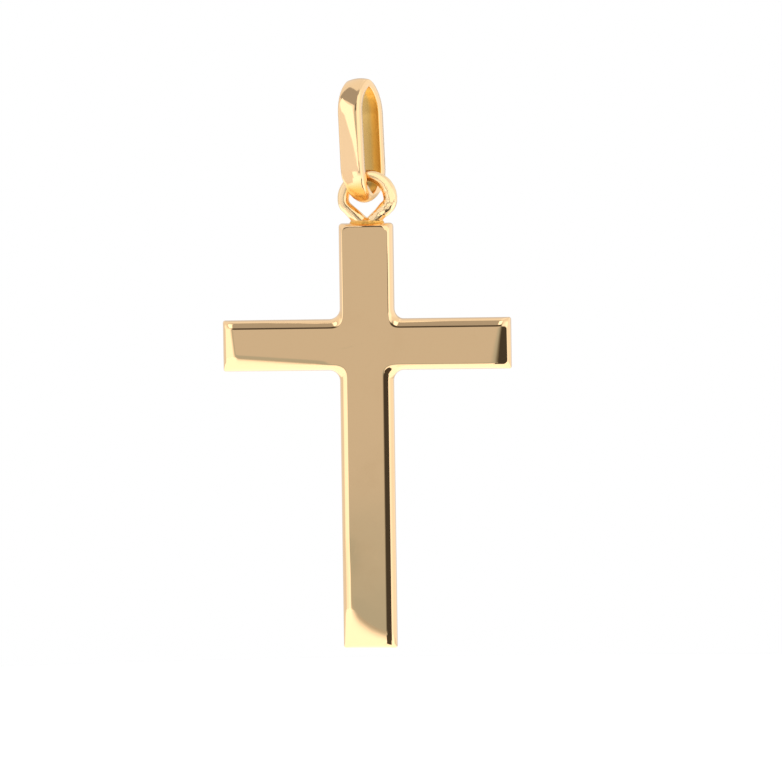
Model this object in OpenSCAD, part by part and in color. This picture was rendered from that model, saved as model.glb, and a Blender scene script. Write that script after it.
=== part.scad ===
// Plain gold cross pendant: a flat Latin cross with a soldered wire loop, hanging in a tall oval bail.
// Millimetres. The front faces -Y, +X is to the right as seen from the front, +Z is up.
// The origin is the top of the bail's opening, where a chain runs through it.

/* [Cross] */
// Height of the cross without its loop
cross_h = 29.8; // [22:0.1:40]
// Width over both arms
cross_w = 20.4; // [14:0.1:28]
// Width of the upright
bar_w = 3.8; // [3:0.05:5]
// Width of the arms
arm_w = 3.6; // [3:0.05:5]
// Thickness between the front and back faces
cross_t = 1.9; // [1.4:0.05:2.6]
// From the top of the cross down to the middle of the arms
arm_drop = 8.5; // [7:0.1:12]
// Radius of the four inner corners
corner_r = 0.75; // [0.4:0.05:1.2]

/* [Edges of the cross] */
// Width of the bevel round each face
bevel_w = 0.29; // [0.1:0.01:0.4]
// Slope of the bevel from the face
bevel_slope = 30; // [15:1:45]
// How far the rounded sides stand out beyond the bevels
side_bulge = 0.3; // [0.1:0.01:0.4]

/* [Loop] */
// Outer width of the wire loop
loop_w = 4.15; // [3.6:0.05:5]
// Thickness of its wire
wire_d = 0.82; // [0.6:0.02:0.9]
// Height of the loop's centre above the cross
loop_rise = 1.66; // [1.4:0.02:2.2]
// Radius of the bend at each side, on the wire's centre line
bend_r = 0.55; // [0.5:0.05:0.8]
// Lean of the two straight ends of the wire
leg_lean = 46; // [30:1:50]
// How far the loop sits off the middle of the cross
loop_shift = 0.15; // [-0.4:0.05:0.4]

/* [Solder] */
// Width of the solder under the loop
solder_w = 2.6; // [2:0.05:3]
// Depth of the solder from front to back
solder_d = 1.1; // [0.9:0.05:1.4]
// Height of the solder above the cross
solder_h = 0.55; // [0.3:0.05:0.7]
// Radius of its rounded top
solder_r = 4; // [2:0.1:8]

/* [Bail] */
// Height of the bail's opening
open_h = 7.45; // [6.6:0.05:9]
// Depth of the bail's opening from front to back
open_d = 2.4; // [2.2:0.05:3]
// Height of the pointed arch at each end of the opening
arch_h = 1.9; // [1.6:0.05:2.4]
// Width of the band
band_w = 1.62; // [1.3:0.02:1.8]
// Thickness of the band's rims along its straight sides
band_t = 0.68; // [0.5:0.02:0.8]
// Thickness of the rims at the two ends of the opening
tip_t = 0.5; // [0.4:0.02:0.7]
// Outer radius of the rims round these ends
tip_r = 1.1; // [0.7:0.05:1.3]
// How far the middle of the band stands proud of its rims
band_dome = 0.13; // [0.05:0.01:0.25]
// Width that the band narrows to at its foot
foot_w = 0.8; // [0.6:0.05:1.6]
// Height over which it narrows
foot_h = 1.8; // [0.8:0.1:2]
// Radius of the rounded foot, seen from the front
foot_r = 1; // [0.9:0.05:2.5]

/* [How it hangs] */
// Turn of the bail about the vertical, its right rim towards the front
bail_turn = 19; // [0:1:20]
// Lean of the bail, its top to the left
bail_lean = 2.2; // [0:0.1:3]
// How far the loop has slid to the right in the bail
loop_slide = 0.16; // [0:0.02:0.3]
// Clearance between the wire and the band where the wire settles
seat_gap = 0.18; // [0.05:0.01:0.25]

/* [Hidden] */
$fn = 96;
gold = [0.86, 0.68, 0.38];
// Margin by which a cutting shape passes what it cuts
over = 1;

// Edges of the cross
bevel_h = bevel_w * tan(bevel_slope);
side_h = cross_t - 2 * bevel_h;
side_r = (side_h * side_h / 4 + side_bulge * side_bulge) / (2 * side_bulge);
// How far the fillets of the inner corners sink into the bars where they end
corner_sink = 0.02;

// Loop
wire_r = wire_d / 2;
loop_r = loop_w / 2 - wire_r;
// How much the bends swell, and how far the wire beyond them reaches in
bend_swell = 0.02;
bend_lap = 0.05;

// Opening of the bail: each end is two arcs of arc_r that meet in a point
arc_r = (open_d * open_d / 4 + arch_h * arch_h) / open_d;
arc_back = arc_r - open_d / 2;
straight_h = open_h - 2 * arch_h;

// Outside of the bail's rims: haunches of haunch_r that run into tips of tip_r
rim_d = open_d + 2 * band_t;
tip_y = arch_h + tip_t - tip_r;
haunch_r = (rim_d * rim_d / 4 + tip_y * tip_y - tip_r * tip_r) / (rim_d - 2 * tip_r);
haunch_back = haunch_r - rim_d / 2;
haunch_sweep = atan2(tip_y, haunch_back);
// How much the tips stand proud, and the angle by which the haunches reach into them
tip_swell = 0.01;
tip_lap = 2;
dome_r = (band_w * band_w / 4 + band_dome * band_dome) / (2 * band_dome);

// Where the wire crosses the rims, as a share of the narrowed height, and the band's width there
seat_share = 0.75;
seat_w = foot_w + (band_w - foot_w) * seat_share;
// Where the turned wire settles: where it crosses the rims it lies rim_y off the middle
rim_y = seat_w / 2 * tan(bail_turn);
room_r = arc_r - (wire_r + seat_gap) / cos(bail_turn);
below_spring = sqrt(max(0, room_r * room_r - pow(rim_y + arc_back, 2)));
rim_x = seat_w / 2 / cos(bail_turn) + loop_slide;
rim_sag = loop_r - sqrt(loop_r * loop_r - rim_x * rim_x);
seat_h = arch_h - below_spring + rim_sag + rim_x * tan(bail_lean);

// Places of the bail's foot, the loop's centre and the top of the cross
foot_x = open_h * sin(bail_lean) * cos(bail_turn);
foot_y = -open_h * sin(bail_lean) * sin(bail_turn);
foot_z = -open_h * cos(bail_lean);
loop_x = foot_x + loop_slide;
loop_z = foot_z + seat_h - loop_r;
top_z = loop_z - loop_rise;

// Outline across a bar or along it, length from side to side: flat faces, bevels, bulging sides
module bar_outline(length) {
    face_x = length / 2 - side_bulge - bevel_w;
    end_x = length / 2 + side_bulge / 10;
    face_y = cross_t / 2;
    end_y = face_y - (end_x - face_x) * tan(bevel_slope);
    difference() {
        polygon([
            [face_x, face_y], [end_x, end_y], [end_x, -end_y], [face_x, -face_y],
            [-face_x, -face_y], [-end_x, -end_y], [-end_x, end_y], [-face_x, face_y]
        ]);
        for (m = [0, 1])
            mirror([m, 0])
                difference() {
                    translate([face_x + bevel_w / 2, -cross_t])
                        square([side_bulge + bevel_w, 2 * cross_t]);
                    translate([length / 2 - side_r, 0])
                        circle(side_r);
                }
    }
}

// Bar of the cross along Z, with its sides and ends rounded alike
module bar(length, width) {
    intersection() {
        linear_extrude(height = length + over, center = true)
            bar_outline(width);
        rotate([0, -90, 0])
            linear_extrude(height = width + over, center = true)
                bar_outline(length);
    }
}

// Fillet between the upright and an arm, with the bars' rounded edge led round its radius
module inner_corner() {
    rise = corner_r - corner_sink;
    size = corner_r + side_bulge + 2 * bevel_w;
    reach = 2 * size;
    translate([bar_w / 2 + rise, 0, arm_w / 2 + rise])
        rotate([90, 180, 0])
            intersection() {
                rotate_extrude(angle = 90)
                    translate([corner_r + reach / 2, 0])
                        bar_outline(reach);
                translate([0, 0, -cross_t])
                    cube([size, size, 2 * cross_t]);
            }
}

// The flat cross, the middle of its arms at the origin
module flat_cross() {
    translate([0, 0, arm_drop - cross_h / 2])
        bar(cross_h, bar_w);
    rotate([0, 90, 0])
        bar(cross_w, arm_w);
    for (m = [0, 1], n = [0, 1])
        mirror([m, 0, 0])
            mirror([0, 0, n])
                inner_corner();
}

// Arc of round wire about the Y axis, from start to start + sweep above the X axis
module wire_arc(radius, thickness_r, start, sweep) {
    rotate([0, -start, 0])
        rotate([90, 0, 0])
            rotate_extrude(angle = sweep)
                translate([radius, 0])
                    circle(thickness_r);
}

// Wire loop with its centre at the origin, its two ends led down into the cross
module wire_loop() {
    leg_top = bend_r * sin(leg_lean);
    leg_l = (loop_rise + wire_r - leg_top) / cos(leg_lean);
    lap_angle = bend_lap / loop_r * 180 / PI;
    wire_arc(loop_r, wire_r, -lap_angle, 180 + 2 * lap_angle);
    for (m = [0, 1])
        mirror([m, 0, 0])
            translate([loop_r - bend_r, 0, 0]) {
                wire_arc(bend_r, wire_r + bend_swell, -leg_lean, leg_lean);
                rotate([0, leg_lean, 0])
                    translate([bend_r, 0, -leg_l])
                        cylinder(h = leg_l + bend_lap, r = wire_r);
            }
}

// Low mound of solder between the wire's ends and the cross, the cross's top at the origin
module solder() {
    end_x = (solder_w - solder_d) / 2;
    intersection() {
        translate([0, 0, -solder_h])
            linear_extrude(height = 2 * solder_h + over) {
                square([2 * end_x, solder_d], center = true);
                for (side = [-1, 1])
                    translate([side * end_x, 0])
                        circle(solder_d / 2);
            }
        translate([0, 0, solder_h - solder_r])
            sphere(solder_r);
    }
}

// Cross, loop and solder, one soldered piece
module cross() {
    color(gold)
        translate([loop_x, foot_y, 0]) {
            translate([-loop_shift, 0, top_z - arm_drop])
                flat_cross();
            translate([0, 0, loop_z])
                wire_loop();
            translate([0, 0, top_z])
                solder();
        }
}

// Section of the bail's band from a centre out to its domed face, at the radius of its rims
module band_section(radius) {
    intersection() {
        translate([radius + band_dome - dome_r, 0])
            circle(dome_r);
        translate([0, -band_w / 2])
            square([radius + over, band_w]);
    }
}

// What one end of the band's outside bounds, in the XY plane with the spring line at y = 0
module band_end() {
    for (m = [0, 1])
        mirror([m, 0, 0])
            translate([-haunch_back, 0, 0])
                rotate_extrude(angle = haunch_sweep + tip_lap)
                    band_section(haunch_r);
    translate([0, tip_y, 0])
        rotate([0, 0, haunch_sweep])
            rotate_extrude(angle = 180 - 2 * haunch_sweep)
                band_section(tip_r + tip_swell);
}

// What the straight sides of the band's outside bound
module band_sides() {
    rotate([90, 0, 0])
        linear_extrude(height = straight_h, center = true)
            for (m = [0, 1])
                mirror([m, 0])
                    band_section(rim_d / 2);
}

// One pointed end of the bail's opening, spring line at y = 0
module opening_arch() {
    intersection() {
        translate([-arc_back, 0])
            circle(arc_r);
        translate([arc_back, 0])
            circle(arc_r);
        translate([-open_d, 0])
            square([2 * open_d, arch_h + over]);
    }
}

// The bail's opening, seen from the side
module opening() {
    square([open_d, straight_h], center = true);
    for (m = [0, 1])
        mirror([0, m])
            translate([0, straight_h / 2])
                opening_arch();
}

// Front view of the bail: straight rims and a narrower, rounded foot
module band_front() {
    half_h = open_h / 2 + tip_t + band_dome;
    intersection() {
        polygon([
            [-foot_w / 2, -half_h], [foot_w / 2, -half_h], [band_w / 2, foot_h - half_h],
            [band_w / 2, half_h + over], [-band_w / 2, half_h + over], [-band_w / 2, foot_h - half_h]
        ]);
        union() {
            translate([0, foot_r - half_h])
                circle(foot_r);
            translate([-foot_r, foot_r - half_h])
                square([2 * foot_r, 2 * half_h]);
        }
    }
}

// Closed band of the bail, its centre at the origin and its opening along X
module band() {
    intersection() {
        rotate([90, 0, 90])
            difference() {
                union() {
                    band_sides();
                    for (m = [0, 1])
                        mirror([0, m, 0])
                            translate([0, straight_h / 2, 0])
                                band_end();
                }
                linear_extrude(height = band_w + over, center = true)
                    opening();
            }
        rotate([90, 0, 0])
            linear_extrude(height = rim_d + over, center = true)
                band_front();
    }
}

// Bail as it hangs, turned and leaning, held at the top of its opening
module bail() {
    color(gold)
        rotate([0, 0, -bail_turn])
            rotate([0, -bail_lean, 0])
                translate([0, 0, -open_h / 2])
                    band();
}

bail();
cross();
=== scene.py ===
"""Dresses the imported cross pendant: polished gold surfaces, a soldered wire loop and a soft white stage."""

import math

import bmesh
import bpy
import numpy as np
from mathutils import Matrix, Vector, noise


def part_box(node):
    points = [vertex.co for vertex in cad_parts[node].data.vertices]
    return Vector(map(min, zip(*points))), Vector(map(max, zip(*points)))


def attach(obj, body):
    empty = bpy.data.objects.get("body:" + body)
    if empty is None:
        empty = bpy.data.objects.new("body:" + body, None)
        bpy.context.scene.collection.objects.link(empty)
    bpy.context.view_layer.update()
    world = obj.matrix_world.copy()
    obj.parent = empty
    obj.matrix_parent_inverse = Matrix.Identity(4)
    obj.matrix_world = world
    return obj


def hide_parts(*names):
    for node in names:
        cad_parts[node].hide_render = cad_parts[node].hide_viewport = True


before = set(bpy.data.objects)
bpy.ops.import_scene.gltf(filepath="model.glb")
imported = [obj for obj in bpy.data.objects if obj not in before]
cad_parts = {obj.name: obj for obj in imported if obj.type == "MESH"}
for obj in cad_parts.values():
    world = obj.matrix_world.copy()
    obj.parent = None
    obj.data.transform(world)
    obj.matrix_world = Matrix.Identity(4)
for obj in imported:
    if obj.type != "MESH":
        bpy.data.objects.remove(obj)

bl_info = {
    "name": "Gold Cross Pendant",
    "version": (1, 0, 0),
    "blender": (4, 5, 0),
    "location": "View3D > Sidebar > Pendant",
    "description": "Builds a polished cross pendant, its wire loop, its bail and a white stage",
    "category": "Add Mesh",
}

MM = 0.001
WHITE = (1.0, 1.0, 1.0)
CROSS_LOW, CROSS_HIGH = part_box("cross")


# Settings


class CrossSizes(bpy.types.PropertyGroup):
    """Sizes of the flat cross."""

    upright_width: bpy.props.FloatProperty(
        name="Upright width", description="Width of the upright", default=3.8 * MM, unit="LENGTH"
    )
    arm_width: bpy.props.FloatProperty(
        name="Arm width", description="Width of the arms", default=3.6 * MM, unit="LENGTH"
    )
    thickness: bpy.props.FloatProperty(
        name="Thickness", description="Between the front and back faces", default=1.9 * MM, unit="LENGTH"
    )
    height: bpy.props.FloatProperty(
        name="Height", description="Height of the cross without its loop", default=29.8 * MM, unit="LENGTH"
    )
    arm_drop: bpy.props.FloatProperty(
        name="Arm drop", description="From the top of the cross to the middle of the arms",
        default=8.5 * MM, unit="LENGTH",
    )
    corner_radius: bpy.props.FloatProperty(
        name="Inner corners", description="Radius of the inner corners", default=0.75 * MM, unit="LENGTH"
    )
    tip_radius: bpy.props.FloatProperty(
        name="Outer corners", description="Rounding of the outer corners", default=0.14 * MM, unit="LENGTH"
    )
    side_bulge: bpy.props.FloatProperty(
        name="Side bulge", description="How far the sides stand out", default=0.3 * MM, unit="LENGTH"
    )
    bevel_width: bpy.props.FloatProperty(
        name="Bevel width", description="Width of the bevel round a face", default=0.29 * MM, unit="LENGTH"
    )
    bevel_slope: bpy.props.FloatProperty(
        name="Bevel slope", description="Slope of the bevel from the face", default=math.radians(30),
        subtype="ANGLE",
    )
    edge_softness: bpy.props.FloatProperty(
        name="Edge softness", description="Width of an edge's rounding", default=0.18 * MM, unit="LENGTH"
    )


class LoopSizes(bpy.types.PropertyGroup):
    """Sizes of the wire loop and its solder."""

    width: bpy.props.FloatProperty(
        name="Width", description="Outer width of the loop", default=4.15 * MM, unit="LENGTH"
    )
    wire: bpy.props.FloatProperty(
        name="Wire", description="Thickness of the wire", default=0.82 * MM, unit="LENGTH"
    )
    rise: bpy.props.FloatProperty(
        name="Rise", description="Height of the loop's centre above the cross", default=1.66 * MM,
        unit="LENGTH",
    )
    bend_radius: bpy.props.FloatProperty(
        name="Bend radius", description="Radius of the bend at each side", default=0.75 * MM, unit="LENGTH"
    )
    leg_lean: bpy.props.FloatProperty(
        name="Leg lean", description="Lean of the wire's ends", default=math.radians(46), subtype="ANGLE"
    )
    shift: bpy.props.FloatProperty(
        name="Shift", description="How far the loop sits off the middle", default=0.15 * MM, unit="LENGTH"
    )
    solder_width: bpy.props.FloatProperty(
        name="Solder width", description="Width of the solder", default=2.5 * MM, unit="LENGTH"
    )
    solder_depth: bpy.props.FloatProperty(
        name="Solder depth", description="Depth from front to back", default=1.1 * MM, unit="LENGTH"
    )
    solder_height: bpy.props.FloatProperty(
        name="Solder height", description="Height above the cross", default=0.4 * MM, unit="LENGTH"
    )
    swelling: bpy.props.FloatProperty(
        name="Swelling", description="How much the solder thickens the wire's right strand",
        default=0.22, min=0, max=0.5,
    )
    grain: bpy.props.FloatProperty(
        name="Melt grain", description="Grain of the fused surface", default=0.035 * MM, unit="LENGTH"
    )


class BailSizes(bpy.types.PropertyGroup):
    """Sizes of the bail's band and how it hangs."""

    opening_height: bpy.props.FloatProperty(
        name="Opening height", description="Height of the bail's opening", default=7.45 * MM, unit="LENGTH"
    )
    opening_depth: bpy.props.FloatProperty(
        name="Opening depth", description="Depth of the bail's opening", default=2.4 * MM, unit="LENGTH"
    )
    arch: bpy.props.FloatProperty(
        name="Arch", description="Height of the pointed arch at each end", default=1.9 * MM, unit="LENGTH"
    )
    width: bpy.props.FloatProperty(
        name="Width", description="Width of the band", default=1.62 * MM, unit="LENGTH"
    )
    side_thickness: bpy.props.FloatProperty(
        name="Side thickness", description="Thickness of the side rims", default=0.68 * MM, unit="LENGTH"
    )
    tip_thickness: bpy.props.FloatProperty(
        name="Tip thickness", description="Thickness of the end rims", default=0.5 * MM, unit="LENGTH"
    )
    tip_radius: bpy.props.FloatProperty(
        name="Tip radius", description="Outer radius of the ends", default=1.1 * MM, unit="LENGTH"
    )
    dome: bpy.props.FloatProperty(
        name="Dome", description="How far the band's middle stands out", default=0.13 * MM, unit="LENGTH"
    )
    foot_width: bpy.props.FloatProperty(
        name="Foot width", description="Width at the band's foot", default=0.8 * MM, unit="LENGTH"
    )
    foot_height: bpy.props.FloatProperty(
        name="Foot height", description="Height over which it narrows", default=1.8 * MM, unit="LENGTH"
    )
    turn: bpy.props.FloatProperty(
        name="Turn", description="Turn about the vertical", default=math.radians(19), subtype="ANGLE"
    )
    lean: bpy.props.FloatProperty(
        name="Lean", description="Lean of the bail to one side", default=math.radians(2.2), subtype="ANGLE"
    )


class GoldLook(bpy.types.PropertyGroup):
    """Colour and wear of the gold, and colours of its painted reflection and painted shade."""

    colour: bpy.props.FloatVectorProperty(
        name="Colour", description="Colour of the polished gold", default=(1.0, 0.7, 0.39), size=3,
        subtype="COLOR", min=0, max=1,
    )
    solder_colour: bpy.props.FloatVectorProperty(
        name="Solder colour", description="Colour of the solder and the loop",
        default=(1.0, 0.74, 0.42), size=3, subtype="COLOR", min=0, max=1,
    )
    tarnish_colour: bpy.props.FloatVectorProperty(
        name="Tarnish colour", description="Colour of the faint tarnish",
        default=(0.93, 0.62, 0.33), size=3, subtype="COLOR", min=0, max=1,
    )
    # painted reflection and shade: a darker orange that stands in for gold mirrored in gold inside the bail,
    # under its foot and at the solder's foot
    painted_reflection_colour: bpy.props.FloatVectorProperty(
        name="Warm colour", description="Colour inside the bail, where gold mirrors gold",
        default=(0.82, 0.42, 0.07), size=3, subtype="COLOR", min=0, max=1,
    )
    # painted shade: a darker greenish colour for the shaded left part inside the bail
    painted_shade_colour: bpy.props.FloatVectorProperty(
        name="Olive colour", description="Colour of the shaded part inside the bail",
        default=(0.52, 0.35, 0.10), size=3, subtype="COLOR", min=0, max=1,
    )
    roughness: bpy.props.FloatProperty(
        name="Roughness", description="Roughness of the cleanest polish", default=0.05, min=0, max=1
    )
    scratches: bpy.props.FloatProperty(
        name="Scratches", description="Strength of the hairline scratches", default=1.0, min=0, max=4
    )


class StageSettings(bpy.types.PropertyGroup):
    """Camera and surroundings."""

    azimuth: bpy.props.FloatProperty(
        name="Azimuth", description="Camera's turn to the right of the front", default=math.radians(8.5),
        subtype="ANGLE",
    )
    elevation: bpy.props.FloatProperty(
        name="Elevation", description="Camera's height above the horizon", default=math.radians(1.5),
        subtype="ANGLE",
    )
    roll: bpy.props.FloatProperty(
        name="Roll", description="Camera's turn about its own view", default=math.radians(0.8),
        subtype="ANGLE",
    )
    frame_width: bpy.props.FloatProperty(
        name="Frame width", description="Picture's width at the cross", default=54.8 * MM, unit="LENGTH"
    )
    lens: bpy.props.FloatProperty(
        name="Lens", description="Focal length in millimetres", default=180, min=1
    )
    white: bpy.props.FloatProperty(
        name="White", description="Brightness of the white surroundings", default=1.35, min=0
    )
    floor_height: bpy.props.FloatProperty(
        name="Floor height", description="Height of the floor", default=-75 * MM, unit="LENGTH"
    )


class PendantSettings(bpy.types.PropertyGroup):
    """All settings of the pendant."""

    cross: bpy.props.PointerProperty(type=CrossSizes)
    loop: bpy.props.PointerProperty(type=LoopSizes)
    bail: bpy.props.PointerProperty(type=BailSizes)
    gold: bpy.props.PointerProperty(type=GoldLook)
    stage: bpy.props.PointerProperty(type=StageSettings)


# Node trees


class Graph:
    """A short way to add nodes to a tree and join them."""

    def __init__(self, tree):
        self.tree = tree

    def add(self, kind, *inputs, **attributes):
        """Adds a node; inputs are values or sockets in the order of its sockets, None to leave one."""
        node = self.tree.nodes.new(kind)
        for name, value in attributes.items():
            setattr(node, name, value)
        for index, value in enumerate(inputs):
            self.set(node.inputs[index], value)
        return node

    def set(self, socket, value):
        """Joins or sets one input."""
        if value is None:
            return
        if isinstance(value, bpy.types.NodeSocket):
            self.tree.links.new(value, socket)
        else:
            socket.default_value = value

    def fill(self, node, values):
        """Joins or sets inputs of a node by their names."""
        for name, value in values.items():
            self.set(node.inputs[name], value)

    def math(self, operation, *inputs):
        """Result of one arithmetic step on values or sockets."""
        return self.add("ShaderNodeMath", *inputs, operation=operation).outputs[0]

    def ramp(self, value, low, high, out_low=0.0, out_high=1.0):
        """Smooth step of a value from low to high."""
        inputs = (value, low, high, out_low, out_high)
        return self.add("ShaderNodeMapRange", *inputs, interpolation_type="SMOOTHSTEP").outputs[0]

    def window(self, value, low, high, soft):
        """1 from low to high and 0 outside, with soft ends."""
        rise = self.ramp(value, low - soft, low + soft)
        return self.math("MULTIPLY", rise, self.ramp(value, high + soft, high - soft))

    def mix(self, factor, a, b):
        """Mixes two colours."""
        node = self.add("ShaderNodeMix", data_type="RGBA")
        # the colour sockets are the seventh and the eighth
        for index, value in ((0, factor), (6, a), (7, b)):
            self.set(node.inputs[index], value)
        return node.outputs[2]


def colour4(colour):
    """A colour with its alpha."""
    return (*colour, 1.0)


def empty_graph(owner):
    """The emptied node tree of a new material or world."""
    owner.use_nodes = True
    owner.node_tree.nodes.clear()
    return Graph(owner.node_tree)


def wear_group():
    """Shader group for polished metal: hairlines, slow waves, smears and tarnish on object coordinates."""
    tree = bpy.data.node_groups.new("polish_wear", "ShaderNodeTree")
    for name, default in (("Base roughness", 0.05), ("Scratches", 1.0), ("Waves", 1.0), ("Pits", 0.0)):
        socket = tree.interface.new_socket(name, in_out="INPUT", socket_type="NodeSocketFloat")
        socket.default_value = default
    for name in ("Roughness", "Tarnish", "Height"):
        tree.interface.new_socket(name, in_out="OUTPUT", socket_type="NodeSocketFloat")
    g = Graph(tree)
    given = g.add("NodeGroupInput").outputs
    place = g.add("ShaderNodeTexCoord").outputs["Object"]
    # hairlines in three directions: turn, scale of the noise, level above which it is a line
    lines = None
    stretch = (1.0, 4.0, 22.0)
    for turn, scale, low in ((0.35, 2600.0, 0.66), (-0.9, 3900.0, 0.68), (1.35, 3100.0, 0.69)):
        turned = g.add("ShaderNodeMapping", place, None, (0.0, turn, 0.0), stretch, vector_type="TEXTURE")
        streak = g.add("ShaderNodeTexNoise", turned.outputs[0], None, scale, 2.0, 0.45).outputs[0]
        line = g.ramp(streak, low, low + 0.05)
        lines = line if lines is None else g.math("MAXIMUM", lines, line)
    patchy = g.ramp(g.add("ShaderNodeTexNoise", place, None, 420.0, 2.0, 0.5).outputs[0], 0.42, 0.66)
    lines = g.math("MULTIPLY", g.math("MULTIPLY", lines, patchy), given["Scratches"])
    smear = g.add("ShaderNodeTexNoise", place, None, 260.0, 4.0, 0.6).outputs[0]
    waves = g.add("ShaderNodeTexNoise", place, None, 190.0, 1.0, 0.4).outputs[0]
    fine = g.add("ShaderNodeTexNoise", place, None, 900.0, 2.0, 0.5).outputs[0]
    spots = g.add("ShaderNodeTexVoronoi", place, None, 1500.0).outputs[0]
    pits = g.math("MULTIPLY", g.ramp(spots, 0.16, 0.06), g.ramp(fine, 0.55, 0.62))
    pits = g.math("MULTIPLY", pits, given["Pits"])
    rough = g.math("MULTIPLY_ADD", g.ramp(smear, 0.4, 0.75), 0.035, given["Base roughness"])
    rough = g.math("MULTIPLY_ADD", lines, 0.10, rough)
    rough = g.math("MULTIPLY_ADD", pits, 0.15, rough)
    height = g.math("MULTIPLY", waves, given["Waves"])
    height = g.math("MULTIPLY_ADD", fine, g.math("MULTIPLY", given["Waves"], 0.06), height)
    height = g.math("MULTIPLY_ADD", lines, -0.02, height)
    height = g.math("MULTIPLY_ADD", pits, -0.6, height)
    tarnish = g.math("MULTIPLY", g.ramp(smear, 0.5, 0.8), 0.35)
    g.fill(g.add("NodeGroupOutput"), {"Roughness": rough, "Tarnish": tarnish, "Height": height})
    return tree


def gold_material(name, look, colour, waves, pits, extra_rough=0.0):
    """Polished gold from the shared wear group, with painted reflection and shade in a warmer colour where it
    would mirror itself.
    """
    material = bpy.data.materials.new(name)
    g = empty_graph(material)
    wear = g.add("ShaderNodeGroup", node_tree=bpy.data.node_groups.get("polish_wear") or wear_group())
    base_rough = look.roughness + extra_rough
    g.fill(wear, {"Base roughness": base_rough, "Scratches": look.scratches, "Waves": waves, "Pits": pits})
    shader = g.add("ShaderNodeBsdfPrincipled")
    base = g.mix(wear.outputs["Tarnish"], colour4(colour), colour4(look.tarnish_colour))
    # painted reflection and shade: where marked, the base colour turns the darker orange of gold mirrored in
    # gold
    painted_reflection = g.add("ShaderNodeAttribute", attribute_name="painted_reflection").outputs["Fac"]
    # painted shade: where marked, the painted reflection colour turns the darker greenish one of the bail's
    # shaded inside
    painted_shade = g.add("ShaderNodeAttribute", attribute_name="painted_shade").outputs["Fac"]
    base = g.mix(painted_reflection, base, g.mix(painted_shade, colour4(look.painted_reflection_colour), colour4(look.painted_shade_colour)))
    rough = g.math("MULTIPLY_ADD", painted_reflection, 0.2, wear.outputs["Roughness"])
    bump = g.add("ShaderNodeBump")
    g.fill(bump, {"Strength": 1.0, "Distance": 0.012 * MM, "Height": wear.outputs["Height"]})
    g.fill(shader, {"Base Color": base, "Metallic": 1.0, "Roughness": rough, "Normal": bump.outputs[0]})
    g.add("ShaderNodeOutputMaterial", shader.outputs[0])
    return material


# Objects and meshes


def smooth(value, low, high):
    """Smooth step of a number or an array from 0 at low to 1 at high."""
    share = np.clip((value - low) / (high - low), 0, 1)
    return share * share * (3 - 2 * share)


def new_object(name, data):
    """A new object in the scene."""
    obj = bpy.data.objects.new(name, data)
    bpy.context.scene.collection.objects.link(obj)
    return obj


def make_piece(name, mesh, material, body, node):
    """Puts a finished mesh into the scene as a piece that rides a body and stands for a CAD node."""
    piece = new_object(name, mesh)
    mesh.materials.clear()
    mesh.materials.append(material)
    for polygon in mesh.polygons:
        polygon.use_smooth = True
    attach(piece, body)
    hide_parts(node)


def mesh_from(name, points, faces, merge=0.0008 * MM):
    """A closed mesh with doubles merged and its faces turned outwards."""
    mesh = bpy.data.meshes.new(name)
    mesh.from_pydata(points, [], faces)
    work = bmesh.new()
    work.from_mesh(mesh)
    bmesh.ops.remove_doubles(work, verts=work.verts, dist=merge)
    bmesh.ops.dissolve_degenerate(work, edges=work.edges, dist=merge)
    bmesh.ops.recalc_face_normals(work, faces=work.faces)
    work.to_mesh(mesh)
    work.free()
    return mesh


def grid_faces(rows, columns, start=0, close_rows=False, close_columns=False):
    """Faces of a grid of points kept row by row."""
    faces = []
    for i in range(rows if close_rows else rows - 1):
        for j in range(columns if close_columns else columns - 1):
            a, b = i * columns + j, i * columns + (j + 1) % columns
            c, d = ((i + 1) % rows) * columns + (j + 1) % columns, ((i + 1) % rows) * columns + j
            faces.append((start + a, start + b, start + c, start + d))
    return faces


def mark(mesh, name, values):
    """Keeps a value for each point of a mesh."""
    attribute = mesh.attributes.new(name, "FLOAT", "POINT")
    attribute.data.foreach_set("value", np.array(values, dtype=np.float32))


def baked(obj):
    """The evaluated mesh of an object as a mesh of its own; the object is removed."""
    bpy.context.view_layer.update()
    graph = bpy.context.evaluated_depsgraph_get()
    mesh = bpy.data.meshes.new_from_object(obj.evaluated_get(graph), depsgraph=graph)
    obj.modifiers.clear()
    bpy.data.objects.remove(obj)
    return mesh


# Cross


def edge_profile(sizes):
    """Insets and heights from the middle of the side up to the face, with softly polished edges."""
    half = sizes.thickness / 2
    bevel_rise = sizes.bevel_width * math.tan(sizes.bevel_slope)
    side_half = half - bevel_rise
    side_r = (side_half**2 + sizes.side_bulge**2) / (2 * sizes.side_bulge)
    side_sweep = math.asin(side_half / side_r)
    bevel_angle = math.pi / 2 - sizes.bevel_slope
    side_length = side_r * side_sweep
    bevel_length = sizes.bevel_width / math.cos(sizes.bevel_slope)
    soft = sizes.edge_softness
    total = side_length + bevel_length + soft
    count = 600
    s = np.linspace(0, total, count)
    # angle of the outward normal from the side towards the face
    keys = [
        (0, 0),
        (side_length - soft / 2, side_sweep * (side_length - soft / 2) / side_length),
        (side_length + soft / 2, bevel_angle),
        (side_length + bevel_length - soft / 2, bevel_angle),
        (side_length + bevel_length + soft / 2, math.pi / 2),
        (total, math.pi / 2),
    ]
    angle = np.interp(s, *zip(*keys))
    step = total / (count - 1)
    inset = np.concatenate([[0], np.cumsum((np.sin(angle[1:]) + np.sin(angle[:-1])) / 2 * step)])
    rise = np.concatenate([[0], np.cumsum((np.cos(angle[1:]) + np.cos(angle[:-1])) / 2 * step)])
    rise *= half / rise[-1]
    # rings close together where the normal turns, and a few along the flat stretches
    ring_turn, ring_gap = math.radians(3.2), 0.12 * MM
    turned = angle / ring_turn + s / ring_gap
    picks = np.searchsorted(turned, np.arange(0, turned[-1], 1.0))
    picks = np.unique(np.append(picks, count - 1))
    return inset[picks], rise[picks]


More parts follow.
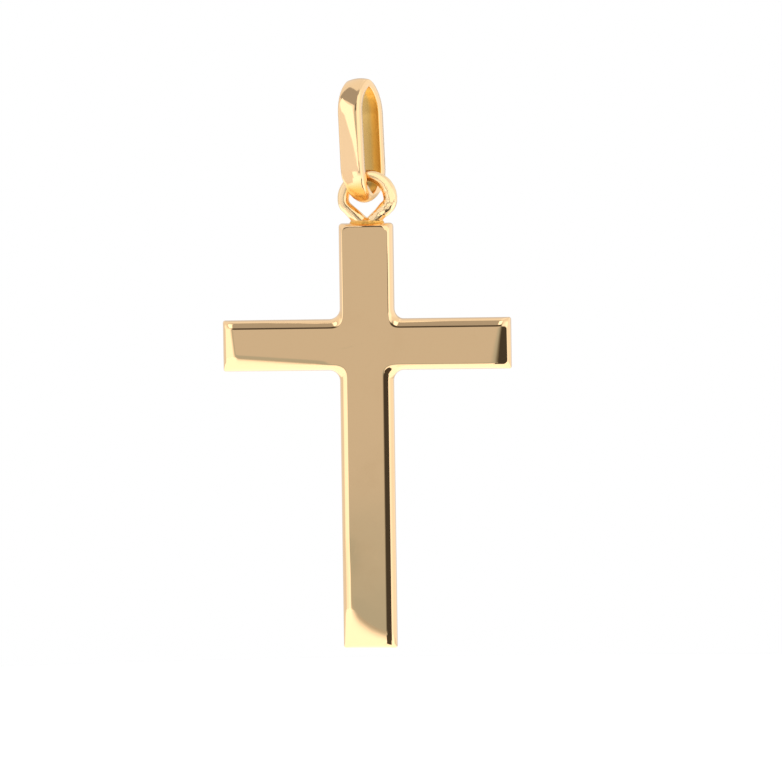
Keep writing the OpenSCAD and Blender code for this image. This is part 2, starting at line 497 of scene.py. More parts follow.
def bar_stations(length, dense=3.4 * MM, fine=0.1 * MM, coarse=0.45 * MM):
    """Shares along the side of a bar, closer together near its free end."""
    dense = min(dense, length * 0.7)
    near = np.arange(0, dense, fine)
    far = np.linspace(dense, length, max(2, int((length - dense) / coarse)))
    return 1 - np.concatenate([near, far])[::-1] / length


# How each edge was polished. The bevel rises the same everywhere, so where it is narrow it is steep. Right
# and left are a bar's own sides when it is turned to point up.
# bar, edge: share of the bulge's width, share of the bevel's width, how far the edge stands out (mm)
POLISH = {
    ("top", "right"): (0.53, 0.50, 0.09),
    ("top", "end"): (0.5, 0.22, 0.0),
    ("top", "left"): (0.75, 0.30, -0.05),
    ("left", "right"): (0.75, 1.30, 0.0),
    ("left", "end"): (0.6, 0.50, 0.0),
    ("left", "left"): (0.7, 0.45, 0.0),
    ("foot", "right"): (1.0, 1.00, 0.0),
    ("foot", "end"): (0.5, 0.40, 0.0),
    ("foot", "left"): (1.0, 1.15, 0.0),
    ("right", "right"): (0.7, 0.45, 0.0),
    ("right", "end"): (0.4, 0.35, 0.0),
    ("right", "left"): (0.75, 1.30, 0.0),
}


# How much rounder the top's outer corners are, and how square the inner corners are at the face
TOP_ROUNDNESS = 1.7
CORNER_SQUARENESS = 3.4

# How the front was polished away: how far in from the edge each slope starts, how softly and how steep. An
# onset or a softness that is a pair is for the upper and the lower side of an arm, and a stop fades a slope
# out between two distances. The left arm's lower slope starts nearer the edge towards the crossing.
TOP_DIP = 0.03 * MM
TOP_DIP_REACH = 0.5 * MM
LEFT_ONSET = (0.62 * MM, 1.04 * MM)
LEFT_SOFTNESS = 0.11 * MM
LEFT_SLOPE = 0.26
LEFT_CORNER = 0.3 * MM
UNDER_ONSET = 0.98 * MM
UNDER_TAPER = 0.075
UNDER_STOP = (7.2 * MM, 8.2 * MM)
UNDER_LIFT = 2 * MM
RIGHT_ONSET = (0.46 * MM, 1.02 * MM)
RIGHT_SOFTNESS = (0.06 * MM, 0.22 * MM)
RIGHT_SLOPE = 0.5
RIGHT_CURVE = 0.8
FOOT_ONSET = 0.45 * MM
FOOT_SOFTNESS = 0.32 * MM
FOOT_SLOPE = 0.22
FOOT_CORNER = 3.7 * MM
FOOT_MARGIN = 0.2 * MM
FOOT_STOP = (8 * MM, 5 * MM)


def edge_inset(depth, sizes, half, polish):
    """Inset of an edge at a nominal depth of inset, up to half the bar's width."""
    bulge_share, bevel_share, proud = polish
    bulge = sizes.side_bulge * bulge_share - proud * MM
    bevel = sizes.bevel_width * bevel_share
    knots = (0, sizes.side_bulge, sizes.side_bulge + sizes.bevel_width, sizes.upright_width / 2)
    return np.interp(depth, knots, (-proud * MM, bulge, bulge + bevel, half))


def bar_outline(depth, sizes, bar, end, half, next_half):
    """Outline of a bar that points up, from its right inner corner over its end to its left one."""
    inner = next_half + sizes.corner_radius
    inset = {edge: edge_inset(depth, sizes, half, POLISH[bar, edge]) for edge in ("right", "end", "left")}
    face_depth = sizes.side_bulge + sizes.bevel_width
    rounding = sizes.tip_radius * np.interp(depth, (0, face_depth), (1, 2))
    if bar == "top":
        rounding *= TOP_ROUNDNESS
    sides = []
    for edge, sign in (("right", 1), ("left", -1)):
        # along the side to its free end, then round the outer corner
        across = half - inset[edge]
        tip = min(rounding, 0.6 * across)
        far = end - inset["end"] - tip
        side = [(sign * across, inner + (far - inner) * t) for t in bar_stations(end - inner)]
        for a in np.linspace(0, math.pi / 2, 5)[1:]:
            side.append((sign * (across - tip + tip * math.cos(a)), far + tip * math.sin(a)))
        sides.append(side)
    right, left = sides
    return [*right, *np.linspace(right[-1], left[-1], 25)[1:-1], *left[::-1]]


def cross_outline(depth, sizes, arm_half):
    """Points of the cross's outline moved inwards, with the same count for every depth."""
    upright, arm = sizes.upright_width / 2, sizes.arm_width / 2
    radius = sizes.corner_radius
    # the inner corners are round outside, squarer at the face's edge and round again in the middle
    depths = (0, sizes.side_bulge + sizes.bevel_width, sizes.upright_width / 2)
    power = 2 / np.interp(depth, depths, (2, CORNER_SQUARENESS, 2))
    bars = (
        ("top", sizes.arm_drop, upright, arm),
        ("left", arm_half, arm, upright),
        ("foot", sizes.height - sizes.arm_drop, upright, arm),
        ("right", arm_half, arm, upright),
    )
    points = []
    for quarter, (bar, end, half, next_half) in enumerate(bars):
        outline = bar_outline(depth, sizes, bar, end, half, next_half)
        # the inner corner that follows, on the bar's left
        next_bar = bars[(quarter + 1) % 4][0]
        across = radius + edge_inset(depth, sizes, half, POLISH[bar, "left"])
        along = radius + edge_inset(depth, sizes, next_half, POLISH[next_bar, "right"])
        for a in np.linspace(0, math.pi / 2, 17)[1:-1]:
            x = across * math.cos(a) ** power - half - radius
            z = next_half + radius - along * math.sin(a) ** power
            outline.append((x, z))
        turn = quarter * math.pi / 2
        cos_t, sin_t = round(math.cos(turn)), round(math.sin(turn))
        points += [(x * cos_t - z * sin_t, x * sin_t + z * cos_t) for x, z in outline]
    return np.array(points)


# Cells along each edge of the patch that closes the middle of a face
PATCH_CELLS = 16


def astroid_patch(sizes, count):
    """Points of the middle of the face, between the four inner corners, as a square grid."""
    inner_x = sizes.upright_width / 2 + sizes.corner_radius
    inner_z = sizes.arm_width / 2 + sizes.corner_radius
    angle = np.linspace(0, math.pi / 2, count + 1)
    # four arcs between the cusps on the two middle lines
    up_to_right = np.stack([inner_x * (1 - np.cos(angle)), inner_z * (1 - np.sin(angle))], 1)
    up_to_left = up_to_right * [-1, 1]
    right_to_down = up_to_right[::-1] * [1, -1]
    left_to_down = up_to_right[::-1] * [-1, -1]
    up, right = up_to_right[0], up_to_right[-1]
    left, down = left_to_down[0], left_to_down[-1]
    grid = np.zeros((count + 1, count + 1, 2))
    for i in range(count + 1):
        for j in range(count + 1):
            u, v = j / count, i / count
            across = (1 - v) * up_to_right[j] + v * left_to_down[j]
            along = (1 - u) * up_to_left[i] + u * right_to_down[i]
            corners = (1 - v) * ((1 - u) * up + u * right) + v * ((1 - u) * left + u * down)
            grid[i, j] = across + along - corners
    return grid.reshape(-1, 2)


def slope_off(distance, onset, soft, slope):
    """Depth of a slope that sets in softly where a distance falls below its onset."""
    return slope * soft * np.log1p(np.exp(np.minimum((onset - distance) / soft, 60)))


def round_corner(a, b, radius):
    """Distance from the nearer of two sides, with lines of equal distance rounded at their corner."""
    return radius - np.hypot(np.maximum(radius - a, 0), np.maximum(radius - b, 0))


def between(pair, share):
    """Value at a share of the way from the first of a pair to the second."""
    return pair[0] + (pair[1] - pair[0]) * share


def pillow(x, z, sizes, arm_half):
    """How far the polished front falls back at the left arm's end, the right arm's end and the foot."""
    foot = sizes.height - sizes.arm_drop + z
    side = sizes.upright_width / 2 + x
    left, right = arm_half + x, arm_half - x
    # height above the arms' lower edge, and how low down in the arms as a share
    above = np.maximum(sizes.arm_width / 2 + z, 0)
    low = np.clip(0.5 - z / sizes.arm_width, 0, 1)
    fall = TOP_DIP * np.exp(-(sizes.arm_drop - z) / TOP_DIP_REACH)
    # left arm: its end and, less and less towards the crossing, its lower side
    end = left - between(LEFT_ONSET, low)
    under = above - UNDER_ONSET + UNDER_TAPER * left + UNDER_LIFT * smooth(left, *UNDER_STOP)
    fall += slope_off(round_corner(end, under, LEFT_CORNER), 0, LEFT_SOFTNESS, LEFT_SLOPE)
    # right arm: its end, further in and more softly towards the lower corner
    onset = between(RIGHT_ONSET, low**RIGHT_CURVE)
    fall += slope_off(right, onset, between(RIGHT_SOFTNESS, low), RIGHT_SLOPE)
    # foot: its lower left corner
    corner = round_corner(side - FOOT_MARGIN, foot, FOOT_CORNER)
    return fall + slope_off(corner, FOOT_ONSET, FOOT_SOFTNESS, FOOT_SLOPE) * smooth(foot, *FOOT_STOP)


def cross_mesh(sizes, arm_half, centre):
    """The flat cross as rings of points from its side up to the middle lines of both faces."""
    inset, rise = edge_profile(sizes)
    inner = np.linspace(inset[-1], sizes.upright_width / 2, 14)[1:]
    inset = np.concatenate([inset, inner])
    rise = np.concatenate([rise, np.full(len(inner), rise[-1])])
    points, faces = [], []
    rings = [cross_outline(depth, sizes, arm_half) for depth in inset]
    for side in (-1, 1):
        start = len(points)
        for ring, up in zip(rings, rise):
            depth = np.full(len(ring), up)
            if side < 0:
                depth *= 1 - pillow(ring[:, 0], ring[:, 1], sizes, arm_half) / (sizes.thickness / 2)
            points += [(x, side * y, z) for (x, z), y in zip(ring, depth)]
        faces += grid_faces(len(rings), len(rings[0]), start, close_columns=True)
        start = len(points)
        points += [(x, side * rise[-1], z) for x, z in astroid_patch(sizes, PATCH_CELLS)]
        faces += grid_faces(PATCH_CELLS + 1, PATCH_CELLS + 1, start)
    mesh = mesh_from("cross_metal", points, faces)
    mesh.transform(Matrix.Translation(centre))
    return mesh


# Loop and solder


WIRE_SIDES = 28
# Unevenness of hand-soldered wire: length and height of its waves and its lumps
WAVE_SIZE, WAVE_HEIGHT = 0.8 * MM, 0.024 * MM
LUMP_SIZE, LUMP_HEIGHT = 0.24 * MM, 0.022 * MM


def loop_path(sizes, fine=0.06 * MM):
    """Centre line of the wire, from one end over the loop to the other, the loop's centre at the origin."""
    radius = (sizes.width - sizes.wire) / 2
    bend, lean = sizes.bend_radius, sizes.leg_lean
    count = int(radius * math.pi / 2 / fine)
    over = [(radius * math.cos(a), radius * math.sin(a)) for a in np.linspace(0, math.pi / 2, count)]
    bent = np.linspace(-lean, 0, 10)[:-1]
    turn = [(radius - bend + bend * math.cos(a), bend * math.sin(a)) for a in bent]
    sunk = sizes.wire * 0.3
    drop = sizes.rise + sunk - bend * math.sin(lean)
    leg_length = drop / math.cos(lean)
    end_x, end_z = turn[0]
    leg = [
        (end_x - math.sin(lean) * s, end_z - math.cos(lean) * s)
        for s in np.linspace(leg_length, 0, int(leg_length / fine))[:-1]
    ]
    right = leg + turn + over
    return right + [(-x, z) for x, z in right[::-1][1:]]


def wire_tree(material):
    """Geometry Nodes tree that sweeps a round wire along the edges of a mesh, swollen where it says so."""
    tree = bpy.data.node_groups.new("round_wire", "GeometryNodeTree")
    kinds = {"Geometry": "Geometry", "Wire thickness": "Float", "Sides": "Int", "Swelling": "Float"}
    for name, kind in kinds.items():
        tree.interface.new_socket(name, in_out="INPUT", socket_type="NodeSocket" + kind)
    tree.interface.new_socket("Geometry", in_out="OUTPUT", socket_type="NodeSocketGeometry")
    g = Graph(tree)
    given = g.add("NodeGroupInput").outputs
    swell = g.add("GeometryNodeInputNamedAttribute", "swell", data_type="FLOAT").outputs[0]
    path = g.add("GeometryNodeMeshToCurve", given["Geometry"]).outputs[0]
    ring = g.add("GeometryNodeCurvePrimitiveCircle")
    radius = g.math("MULTIPLY", given["Wire thickness"], 0.5)
    g.fill(ring, {"Resolution": given["Sides"], "Radius": radius})
    swept = g.add("GeometryNodeCurveToMesh")
    scale = g.math("MULTIPLY_ADD", swell, given["Swelling"], 1.0)
    g.fill(swept, {"Curve": path, "Profile Curve": ring.outputs[0], "Scale": scale, "Fill Caps": True})
    real = g.add("GeometryNodeRealizeInstances", swept.outputs[0]).outputs[0]
    coloured = g.add("GeometryNodeSetMaterial")
    g.fill(coloured, {"Geometry": real, "Material": material})
    g.add("NodeGroupOutput", coloured.outputs[0])
    return tree


def wire_swell(x, z):
    """How swollen the wire is by solder that has run up it, most on its right strand."""
    right = smooth(x, 0.6 * MM, 1.3 * MM) * smooth(z, 1.6 * MM, 0.8 * MM)
    low = smooth(z, -0.5 * MM, -1.3 * MM)
    return max(right, 0.6 * low)


def swept_wire(sizes, material):
    """The bare wire loop as a mesh."""
    path = loop_path(sizes)
    mesh = bpy.data.meshes.new("loop_path")
    mesh.from_pydata([(x, 0, z) for x, z in path], [(i, i + 1) for i in range(len(path) - 1)], [])
    mark(mesh, "swell", [wire_swell(x, z) for x, z in path])
    wire = new_object("loop_path", mesh)
    tree = wire_tree(material)
    modifier = wire.modifiers.new("wire", "NODES")
    modifier.node_group = tree
    sockets = {s.name: s.identifier for s in tree.interface.items_tree if s.in_out == "INPUT"}
    modifier[sockets["Wire thickness"]] = sizes.wire
    modifier[sockets["Sides"]] = WIRE_SIDES
    modifier[sockets["Swelling"]] = sizes.swelling
    return baked(wire)


def solder_mesh(sizes):
    """A low mound of solder, sunk a little into the top of the cross at its origin."""
    work = bmesh.new()
    bmesh.ops.create_uvsphere(work, u_segments=40, v_segments=20, radius=1)
    sunk = 0.02 * MM
    for vert in work.verts:
        x, y, z = vert.co
        vert.co = (x * sizes.solder_width / 2, y * sizes.solder_depth / 2, z * sizes.solder_height - sunk)
    mesh = bpy.data.meshes.new("solder")
    work.to_mesh(mesh)
    work.free()
    return mesh


def fused_loop(sizes, material):
    """Wire and solder melted into one surface, the loop's centre at the origin."""
    work = bmesh.new()
    wire = swept_wire(sizes, material)
    work.from_mesh(wire)
    mound = solder_mesh(sizes)
    mound.transform(Matrix.Translation((0, 0, -sizes.rise)))
    work.from_mesh(mound)
    mesh = bpy.data.meshes.new("loop_and_solder")
    work.to_mesh(mesh)
    work.free()
    rough = new_object("loop_and_solder", mesh)
    melt = rough.modifiers.new("melt", "REMESH")
    melt.mode = "VOXEL"
    melt.voxel_size = sizes.grain
    melt.adaptivity = 0
    soften = rough.modifiers.new("soften", "SMOOTH")
    soften.factor = 0.5
    soften.iterations = 14
    fused = baked(rough)
    # slow waves all over, and lumps on the right and low down, where the solder ran
    radius = sizes.width / 2
    for vert, normal in zip(fused.vertices, [v.normal.copy() for v in fused.vertices]):
        x, z = vert.co.x / radius, vert.co.z / radius
        waves = noise.noise(vert.co / WAVE_SIZE) * WAVE_HEIGHT
        lumps = noise.noise(vert.co / LUMP_SIZE) * LUMP_HEIGHT
        vert.co += normal * (waves + lumps * smooth(x - 0.6 * z, 0.0, 0.7))
    # painted reflection and shade: the foot of the solder is coloured as if it mirrors the gold beside it
    depth = -np.array([vert.co.z for vert in fused.vertices])
    mark(fused, "painted_reflection", 0.9 * smooth(depth, sizes.rise - 0.26 * MM, sizes.rise - 0.08 * MM))
    return fused


# Bail


# Width where the wire lies, as a share of the way from the foot's width to the band's
SEAT_SHARE = 0.75
EDGE_ROUNDING = 0.05 * MM


def arch_points(depth, arch, count):
    """Half of a pointed arch from the spring line to its point, as (across, up)."""
    radius = (depth**2 / 4 + arch**2) / depth
    back = radius - depth / 2
    sweep = math.asin(arch / radius)
    return [(radius * math.cos(a) - back, radius * math.sin(a)) for a in np.linspace(0, sweep, count)]


def rim_points(sizes, count):
    """Half an end of the rim's outside, from the spring line to the tip, as (across, up, outward angle)."""
    rim_depth = sizes.opening_depth + 2 * sizes.side_thickness
    tip_up = sizes.arch + sizes.tip_thickness - sizes.tip_radius
    haunch = (rim_depth**2 / 4 + tip_up**2 - sizes.tip_radius**2) / (rim_depth - 2 * sizes.tip_radius)
    back = haunch - rim_depth / 2
    sweep = math.atan2(tip_up, back)
    split = haunch * sweep
    total = split + sizes.tip_radius * (math.pi / 2 - sweep)
    points = []
    for s in np.linspace(0, total, count):
        if s < split:
            a = s / haunch
            points.append((haunch * math.cos(a) - back, haunch * math.sin(a), a))
        else:
            a = sweep + (s - split) / sizes.tip_radius
            points.append((sizes.tip_radius * math.cos(a), tip_up + sizes.tip_radius * math.sin(a), a))
    return points


def bail_stations(sizes, straight=24, end=36):
    """Inner point, outer point and outward angle at each station once round the band."""
    spring = sizes.opening_height / 2 - sizes.arch
    inner = arch_points(sizes.opening_depth, sizes.arch, end + 1)
    outer = rim_points(sizes, end + 1)
    half_in, half_out = sizes.opening_depth / 2, sizes.opening_depth / 2 + sizes.side_thickness
    # from the middle of the back up to the tip, then mirrored to the front and downwards
    heights = [spring * t for t in np.linspace(0, 1, straight, endpoint=False)]
    quarter = [((half_in, z), (half_out, z), 0.0) for z in heights]
    for (xi, zi), (xo, zo, a) in zip(inner, outer):
        quarter.append(((xi, zi + spring), (xo, zo + spring), a))
    upper = quarter + [((-i[0], i[1]), (-o[0], o[1]), math.pi - a) for i, o, a in quarter[-2::-1]]
    lower = [((i[0], -i[1]), (o[0], -o[1]), -a) for i, o, a in upper[1:-1]]
    return upper + lower[::-1]


def foot_half_width(z, sizes):
    """Half the band's width at a height: narrowed where the wire lies, and narrowest at the foot."""
    foot = -(sizes.opening_height / 2 + sizes.tip_thickness + sizes.dome)
    share = min(1.0, max(0.0, (z - foot) / sizes.foot_height))
    seat = between((sizes.foot_width, sizes.width), SEAT_SHARE)
    low = sizes.foot_width + (seat - sizes.foot_width) * math.sin(min(1.0, 2 * share) * math.pi / 2)
    return (low + (sizes.width - seat) * smooth(share, 0.6, 1.0)) / 2


def paint_bail_reflection_and_shade(mesh, sizes):
    """Marks painted reflection and shade where gold would mirror gold: inside the band, a greenish painted
    shade in its shaded part, and weaker under its foot.
    """
    spring = sizes.opening_height / 2 - sizes.arch
    painted_reflection, painted_shade = [], []
    for vert, normal in zip(mesh.vertices, mesh.vertex_normals):
        z = vert.co.z
        away = Vector((0, vert.co.y, z - max(-spring, min(spring, z)))).normalized()
        # painted reflection and shade inside the band
        inside = smooth(-away.dot(normal.vector), 0.3, 0.8)
        # painted reflection and shade under the foot, on its downward faces
        under = 0.9 * smooth(-normal.vector.z, 0.35, 0.65) * smooth(-z, spring, spring + 1.2 * MM)
        painted_reflection.append(max(inside * (0.8 + 0.2 * smooth(vert.co.x, -0.6 * MM, 0.4 * MM)), under))
        # painted shade: the left part inside the band
        painted_shade.append(0.85 * inside * smooth(vert.co.x, 0.36 * MM, 0.0))
    mark(mesh, "painted_reflection", painted_reflection)
    mark(mesh, "painted_shade", painted_shade)


def bail_mesh(sizes):
    """The band of the bail as sections round its oval, then turned and hung."""
    sections = []
    soft = EDGE_ROUNDING
    for (xi, zi), (xo, zo), angle in bail_stations(sizes):
        out = Vector((math.cos(angle), math.sin(angle)))
        half_in, half_out = foot_half_width(zi, sizes), foot_half_width(zo, sizes)
        thick = math.hypot(xo - xi, zo - zi)
        # how far each point lies to the side, and how far out as a share of the thickness
        section = []
        # the flat inside from left to right
        for share in np.linspace(-1, 1, 21):
            edge = soft if abs(share) == 1 else 0
            section.append((share * (half_in - edge), 0.0))
        # the right rim, the domed outside from right to left, the left rim
        rim = [(half_in, soft / thick), ((half_in + half_out) / 2, 0.5), (half_out, 1 - soft / thick)]
        section += rim
        for share in np.linspace(1, -1, 27):
            edge = 1 - (soft / half_out) * (abs(share) ** 12)
            section.append((share * half_out * edge, 1 + sizes.dome * (1 - share**2) / thick))
        section += [(-u, t) for u, t in rim[::-1]]
        row = []
        for u, t in section:
            if t <= 1:
                x, z = xi + (xo - xi) * t, zi + (zo - zi) * t
            else:
                x, z = xo + out.x * (t - 1) * thick, zo + out.y * (t - 1) * thick
            row.append((u, x, z))
        sections.append(row)
    points = [p for row in sections for p in row]
    faces = grid_faces(len(sections), len(sections[0]), close_rows=True, close_columns=True)
    mesh = mesh_from("bail_band", points, faces)
    paint_bail_reflection_and_shade(mesh, sizes)
    mesh.transform(
        Matrix.Rotation(-sizes.turn, 4, "Z")
        @ Matrix.Rotation(-sizes.lean, 4, "Y")
        @ Matrix.Translation((0, 0, -sizes.opening_height / 2))
    )
    return mesh


# Stage


def surroundings(settings):
    """A white room with a grey side behind the camera, seen only in reflections."""
    world = bpy.data.worlds.new("white_room")
    bpy.context.scene.world = world
    g = empty_graph(world)
    direction = g.add("ShaderNodeTexCoord").outputs["Generated"]
    parts = g.add("ShaderNodeSeparateXYZ", direction).outputs
    flip = g.math("MULTIPLY", parts[1], -1.0)
    azimuth = g.math("MULTIPLY", g.math("ARCTAN2", parts[0], flip), 180 / math.pi)
    elevation = g.math("MULTIPLY", g.math("ARCSINE", parts[2]), 180 / math.pi)
    colour = colour4([settings.white] * 3)
    # azimuth from and to, elevation from and to, softness (degrees), colour; later zones lie on top
    zones = (
        (-180, 180, 25, 95, 12, (0.90, 0.88, 0.86)),
        (-180, -80, -35, 30, 14, (0.82, 0.80, 0.80)),
        (100, 260, -30, 40, 20, (1.00, 1.00, 1.00)),
        (160, 260, -40, 40, 12, (0.68, 0.66, 0.65)),
        (-260, -160, -40, 40, 12, (0.68, 0.66, 0.65)),
        (-45, 26, 32, 75, 6, (0.44, 0.43, 0.43)),
        (-3, 26, 37, 54, 3, (1.70, 1.70, 1.65)),
        (-42, -24, 36, 54, 3, (1.70, 1.70, 1.65)),
        (-27, 34, -20, 34, 4, (0.88, 0.86, 0.84)),
        (-22, 34, -17, 34, 3, (0.40, 0.43, 0.41)),
        (-19, 32, -12, 34, 3, (0.62, 0.61, 0.61)),
        (-19, 32, -14, -3.6, 1.5, (0.46, 0.50, 0.51)),
        (20, 60, -16, 6, 11, (0.10, 0.09, 0.07)),
        (-20, 26, 10, 35, 4, (0.08, 0.07, 0.06)),
    )
    for az_low, az_high, el_low, el_high, soft, shade in zones:
        across = g.window(azimuth, az_low, az_high, soft)
        mask = g.math("MULTIPLY", across, g.window(elevation, el_low, el_high, soft))
        colour = g.mix(mask, colour, colour4(shade))
    seen = g.add("ShaderNodeLightPath").outputs["Is Camera Ray"]
    colour = g.mix(seen, colour, colour4(WHITE))
    back = g.add("ShaderNodeBackground", colour, 1.0)
    g.add("ShaderNodeOutputWorld", back.outputs[0])


# Flat cards that are seen only in reflections: name, shade, corners (mm). The dark card gives the dark band
# down the foot, the hook card its bent upper end and the brow card the grey patch high on the bail.
FLAT_CARDS = (
    ("dark_card", (0.06, 0.055, 0.05), (
        (102, -164, -143), (198, -36, -143), (198, -36, -9.5), (102, -164, -9.5),
    )),
    ("hook_card", (0.07, 0.06, 0.05), ((13, -36, -70), (34, -18, -70), (168, -89, -70), (65, -179, -70))),
    ("brow_card", (0.40, 0.39, 0.39), ((-13, 5, 21), (1, -19, 19.5), (-8, -22, 8), (-21, 2, 12))),
)
# Cards bent round the bail, which give its front and the loop their soft bands: name, shade, radius (mm),
# top and bottom edge as azimuth (degrees) and height (mm)
ROUND_CARDS = (
    ("peach_card", (0.92, 0.90, 0.92), 8.0, (
        (-72, 1.7), (-58, -1.0), (-42, -2.3), (-27, -3.5), (-17, -4.8), (-10, -6.6), (-7, -7.4),
    ), ((-72, -7.5), (-7, -7.5))),
    ("glint_card", (1.40, 1.40, 1.40), 8.5, (
        (-75, 4.7), (-27, 1.3), (-20, -1.6), (-14, -3.3), (-7, -6.6),
    ), ((-75, -7.5), (-7, -7.5))),
    ("low_card", (0.92, 0.88, 0.88), 6.5, ((-75, -6.6), (-30, -6.6)), (
        (-75, -11.5), (-40, -11.5), (-34, -9.4), (-30, -9.4),
    )),
    ("loop_card", (1.25, 1.22, 1.15), 6.0, ((-4, 6.0), (75, 6.0)), (
        (-4, -5.0), (10, -5.0), (14, -9.4), (75, -9.4),
    )),
)

# How far the picture's middle lies to the right of the arms' crossing and below it
PICTURE_RIGHT = 1.665 * MM
PICTURE_DOWN = 3.29 * MM


def glow_card(name, shade, corners, faces):
    """A card that gives off an even shade, seen only in reflections."""
    mesh = bpy.data.meshes.new(name)
    mesh.from_pydata([Vector(corner) * MM for corner in corners], [], faces)
    card = new_object(name, mesh)
    material = bpy.data.materials.new(name)
    g = empty_graph(material)
    glow = g.add("ShaderNodeEmission", colour4(shade), 1.0)
    g.add("ShaderNodeOutputMaterial", glow.outputs[0])
    mesh.materials.append(material)
    card.visible_camera = False
    card.visible_shadow = False


def round_card(name, shade, radius, top, bottom, count=40):
    """A glowing card bent round the bail's middle line."""
    azimuths = np.linspace(top[0][0], top[-1][0], count)
    corners = []
    for edge in (top, bottom):
        for azimuth, z in zip(azimuths, np.interp(azimuths, *zip(*edge))):
            turn = math.radians(azimuth)
            corners.append((radius * math.sin(turn), -radius * math.cos(turn), z))
    glow_card(name, shade, corners, grid_faces(2, count))


def floor(settings):
    """A large white floor."""
    mesh = bpy.data.meshes.new("floor")
    count, radius, middle = 64, 320 * MM, 50 * MM
    angles = [2 * math.pi * i / count for i in range(count)]
    rim = [(radius * math.cos(a), radius * math.sin(a), 0) for a in angles]
    mesh.from_pydata(rim, [], [tuple(range(count))])
    piece = new_object("floor", mesh)
    piece.location = (0, middle, settings.floor_height)
    material = bpy.data.materials.new("white_floor")
    g = empty_graph(material)
    # in reflections the part towards the camera fades to grey, and so does, less, the part behind
    place = g.add("ShaderNodeSeparateXYZ", g.add("ShaderNodeTexCoord").outputs["Object"]).outputs
    forward = g.math("MULTIPLY", place[1], -1.0)
    azimuth = g.math("ARCTAN2", place[0], forward)
    grey = g.math("MULTIPLY", g.ramp(azimuth, -0.38, -0.24), g.ramp(azimuth, 0.65, 0.5))
    grey = g.math("MULTIPLY", grey, g.ramp(forward, 0.14, 0.30))
    grey = g.math("MAXIMUM", grey, g.ramp(place[1], 0.0, 0.12, 0.0, 0.7))
    seen = g.add("ShaderNodeLightPath").outputs["Is Camera Ray"]
    grey = g.math("MULTIPLY", grey, g.math("SUBTRACT", 1.0, seen))
    shader = g.add("ShaderNodeBsdfPrincipled")
    base = g.mix(grey, (0.9, 0.9, 0.9, 1.0), (0.28, 0.28, 0.27, 1.0))
    glow = g.mix(grey, colour4(WHITE), (0.35, 0.35, 0.34, 1.0))
    g.fill(shader, {"Base Color": base, "Roughness": 0.9})
    g.fill(shader, {"Emission Color": glow, "Emission Strength": 0.65})
    g.add("ShaderNodeOutputMaterial", shader.outputs[0])
    mesh.materials.append(material)


def camera(settings, crossing):
    """The camera at the photograph's angle, with its picture placed from the arms' crossing."""
    data = bpy.data.cameras.new("camera")
    eye = new_object("camera", data)
    a, e = settings.azimuth, settings.elevation
    right = Vector((math.cos(a), math.sin(a), 0))
    back = Vector((math.sin(a) * math.cos(e), -math.cos(a) * math.cos(e), math.sin(e)))
    target = crossing + right * PICTURE_RIGHT - back.cross(right) * PICTURE_DOWN
    data.lens = settings.lens
    data.sensor_width = 36
    distance = settings.frame_width / data.sensor_width * settings.lens
    eye.location = target + back * distance
    eye.rotation_mode = "QUATERNION"
    turn = (-back).to_track_quat("-Z", "Y").to_matrix().to_4x4() @ Matrix.Rotation(-settings.roll, 4, "Z")
    eye.rotation_quaternion = turn.to_quaternion()
    data.clip_start, data.clip_end = 0.01, 20
    bpy.context.scene.camera = eye


# Operators and panel


def cross_centre(settings):
    """Middle of the arms, from the CAD node's box."""
    x = (CROSS_LOW.x + CROSS_HIGH.x) / 2
    y = (CROSS_LOW.y + CROSS_HIGH.y) / 2
    z = CROSS_LOW.z + settings.cross.height - settings.cross.arm_drop
    return Vector((x, y, z))


class PENDANT_OT_cross(bpy.types.Operator):
    """Build the polished flat cross"""

    bl_idname = "pendant.cross"
    bl_label = "Cross"

    def execute(self, context):
        settings = context.scene.pendant
        arm_half = (CROSS_HIGH.x - CROSS_LOW.x) / 2
        mesh = cross_mesh(settings.cross, arm_half, cross_centre(settings))
        look = settings.gold
        gold = gold_material("polished_gold", look, look.colour, waves=1.0, pits=0.0)
        make_piece("cross_metal", mesh, gold, "cross", "cross")
        return {"FINISHED"}


class PENDANT_OT_loop(bpy.types.Operator):
    """Build the wire loop and its solder"""

    bl_idname = "pendant.loop"
    bl_label = "Loop and solder"

    def execute(self, context):
        settings = context.scene.pendant
        look = settings.gold
        colour = look.solder_colour
        gold = gold_material("soldered_gold", look, colour, waves=2.0, pits=0.7, extra_rough=0.14)
        mesh = fused_loop(settings.loop, gold)
        centre = cross_centre(settings)
        top = centre.z + settings.cross.arm_drop
        place = (centre.x + settings.loop.shift, centre.y, top + settings.loop.rise)
        mesh.transform(Matrix.Translation(place))
        make_piece("loop_and_solder", mesh, gold, "cross", "cross")
        return {"FINISHED"}


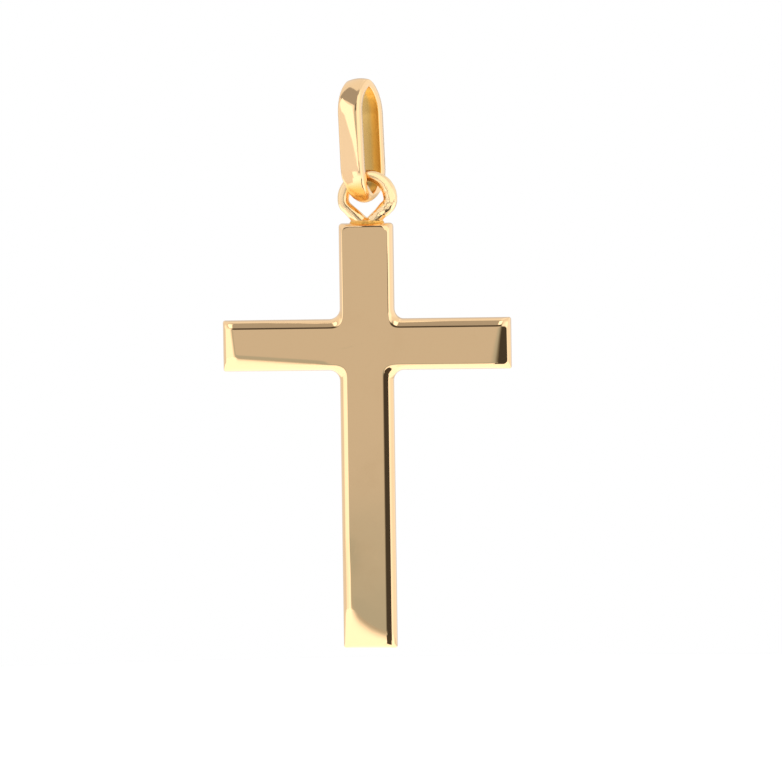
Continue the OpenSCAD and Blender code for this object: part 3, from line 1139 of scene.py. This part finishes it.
class PENDANT_OT_bail(bpy.types.Operator):
    """Build the bail"""

    bl_idname = "pendant.bail"
    bl_label = "Bail"

    def execute(self, context):
        settings = context.scene.pendant
        look = settings.gold
        gold = gold_material("bail_gold", look, look.colour, waves=1.5, pits=0.6, extra_rough=0.02)
        make_piece("bail_band", bail_mesh(settings.bail), gold, "bail", "bail")
        return {"FINISHED"}


class PENDANT_OT_stage(bpy.types.Operator):
    """Build the floor, the surroundings and the camera"""

    bl_idname = "pendant.stage"
    bl_label = "Stage"

    def execute(self, context):
        settings = context.scene.pendant
        stage = settings.stage
        context.scene.view_settings.view_transform = "Standard"
        surroundings(stage)
        floor(stage)
        for card in FLAT_CARDS:
            glow_card(*card, [(0, 1, 2, 3)])
        for card in ROUND_CARDS:
            round_card(*card)
        camera(stage, cross_centre(settings))
        return {"FINISHED"}


class PENDANT_PT_panel(bpy.types.Panel):
    """Buttons and sizes of the pendant"""

    bl_label = "Pendant"
    bl_idname = "PENDANT_PT_panel"
    bl_space_type = "VIEW_3D"
    bl_region_type = "UI"
    bl_category = "Pendant"

    def draw(self, context):
        layout = self.layout
        settings = context.scene.pendant
        for group, operator in (
            (settings.cross, "pendant.cross"),
            (settings.loop, "pendant.loop"),
            (settings.bail, "pendant.bail"),
            (settings.gold, None),
            (settings.stage, "pendant.stage"),
        ):
            box = layout.box()
            if operator:
                box.operator(operator)
            for name in group.__annotations__:
                box.prop(group, name)


CLASSES = (
    CrossSizes, LoopSizes, BailSizes, GoldLook, StageSettings, PendantSettings,
    PENDANT_OT_cross, PENDANT_OT_loop, PENDANT_OT_bail, PENDANT_OT_stage, PENDANT_PT_panel,
)


def register():
    """Registers the classes and the scene's settings."""
    for cls in CLASSES:
        bpy.utils.register_class(cls)
    bpy.types.Scene.pendant = bpy.props.PointerProperty(type=PendantSettings)


def unregister():
    """Takes the classes and the settings away again."""
    del bpy.types.Scene.pendant
    for cls in reversed(CLASSES):
        bpy.utils.unregister_class(cls)


def main():
    """Builds every piece and the stage."""
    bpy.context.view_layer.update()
    register()
    bpy.ops.pendant.cross()
    bpy.ops.pendant.loop()
    bpy.ops.pendant.bail()
    bpy.ops.pendant.stage()
    bpy.context.view_layer.update()


if __name__ == "__main__":
    main()
